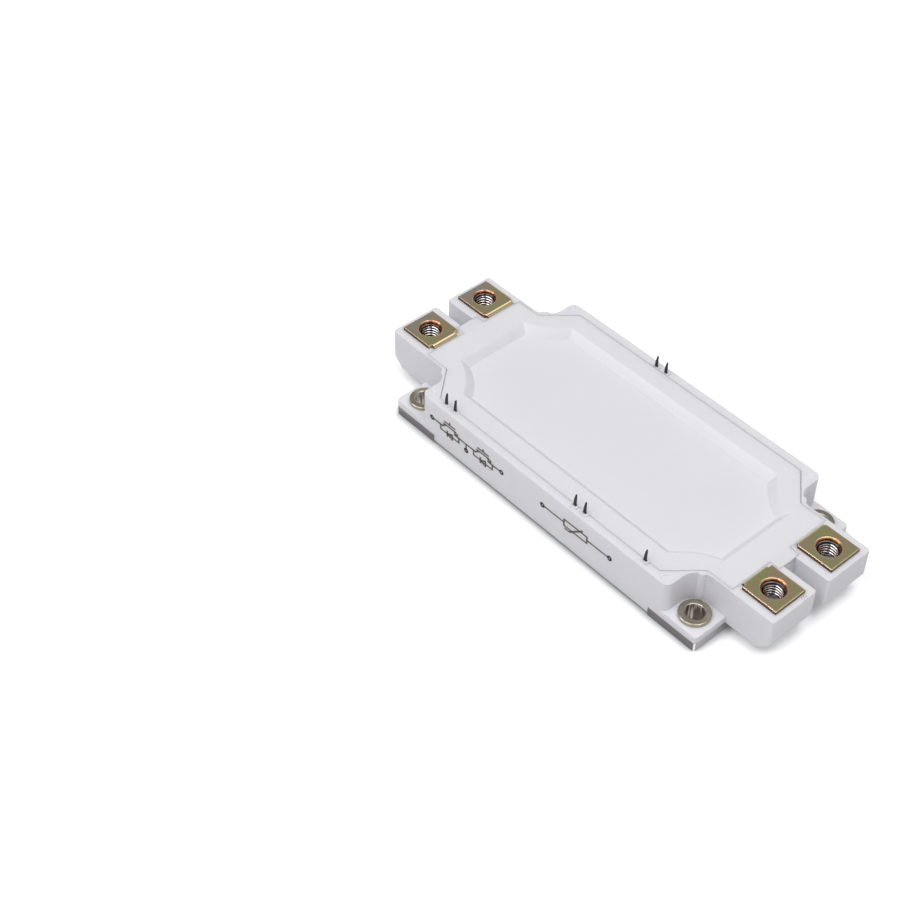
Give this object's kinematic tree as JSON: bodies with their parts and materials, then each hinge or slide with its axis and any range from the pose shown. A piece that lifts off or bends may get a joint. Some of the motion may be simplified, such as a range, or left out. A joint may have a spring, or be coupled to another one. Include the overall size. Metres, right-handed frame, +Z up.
{
  "type": "igbt power module",
  "caption": "Low white half-bridge power module on a nickel-plated baseplate, with nut-backed screw terminals at both ends and solder pins along the sides.",
  "frame": {"origin": "centre of the baseplate's underside", "axes": "+X along the module's length, +Y towards the long side with the shorter pin row, +Z up, out of the lid"},
  "size_m": [0.152, 0.062, 0.0205],
  "materials": {
    "nickel_plate": "satin electroplated nickel on copper",
    "white_moulding": "fine moulded texture",
    "white_lid": "fine moulded texture",
    "adhesive": "cured silicone",
    "bushing_steel": "satin nickel plating",
    "terminal_nickel": "satin nickel plating on copper",
    "nut_steel": "zinc plated",
    "pin_metal": "tinned, dulled",
    "solder": "matt solder",
    "copper": "bare copper",
    "ceramic": "fired alumina",
    "transistor_silicon": "metallised silicon",
    "diode_silicon": "metallised silicon",
    "bond_wire": "drawn aluminium wire",
    "thermistor_body": "dark ceramic chip",
    "gel": "clear silicone gel"
  },
  "bodies": {
    "root": {"baseplate": "nickel_plate", "housing_frame": "white_moulding", "lid": "white_lid", "frame_adhesive": "adhesive", "bushing_front_left": "bushing_steel", "bushing_front_right": "bushing_steel", "bushing_rear_left": "bushing_steel", "bushing_rear_right": "bushing_steel", "terminal_front_left": "terminal_nickel", "terminal_front_right": "terminal_nickel", "terminal_rear_left": "terminal_nickel", "terminal_rear_right": "terminal_nickel", "nut_front_left": "nut_steel", "nut_front_right": "nut_steel", "nut_rear_left": "nut_steel", "nut_rear_right": "nut_steel", "control_pin_1": "pin_metal", "control_pin_2": "pin_metal", "control_pin_3": "pin_metal", "control_pin_4": "pin_metal", "control_pin_5": "pin_metal", "control_pin_6": "pin_metal", "control_pin_7": "pin_metal", "substrate_solder_1": "solder", "substrate_solder_2": "solder", "substrate_solder_3": "solder", "back_copper_1": "copper", "back_copper_2": "copper", "back_copper_3": "copper", "ceramic_tile_1": "ceramic", "ceramic_tile_2": "ceramic", "ceramic_tile_3": "ceramic", "circuit_copper_1": "copper", "circuit_copper_2": "copper", "circuit_copper_3": "copper", "igbt_chip_1": "transistor_silicon", "igbt_chip_2": "transistor_silicon", "igbt_chip_3": "transistor_silicon", "igbt_chip_4": "transistor_silicon", "igbt_chip_5": "transistor_silicon", "igbt_chip_6": "transistor_silicon", "diode_chip_1": "diode_silicon", "diode_chip_2": "diode_silicon", "diode_chip_3": "diode_silicon", "diode_chip_4": "diode_silicon", "diode_chip_5": "diode_silicon", "diode_chip_6": "diode_silicon", "bond_wires_1": "bond_wire", "bond_wires_2": "bond_wire", "bond_wires_3": "bond_wire", "thermistor": "thermistor_body", "silicone_gel": "gel"}
  },
  "joints": []
}
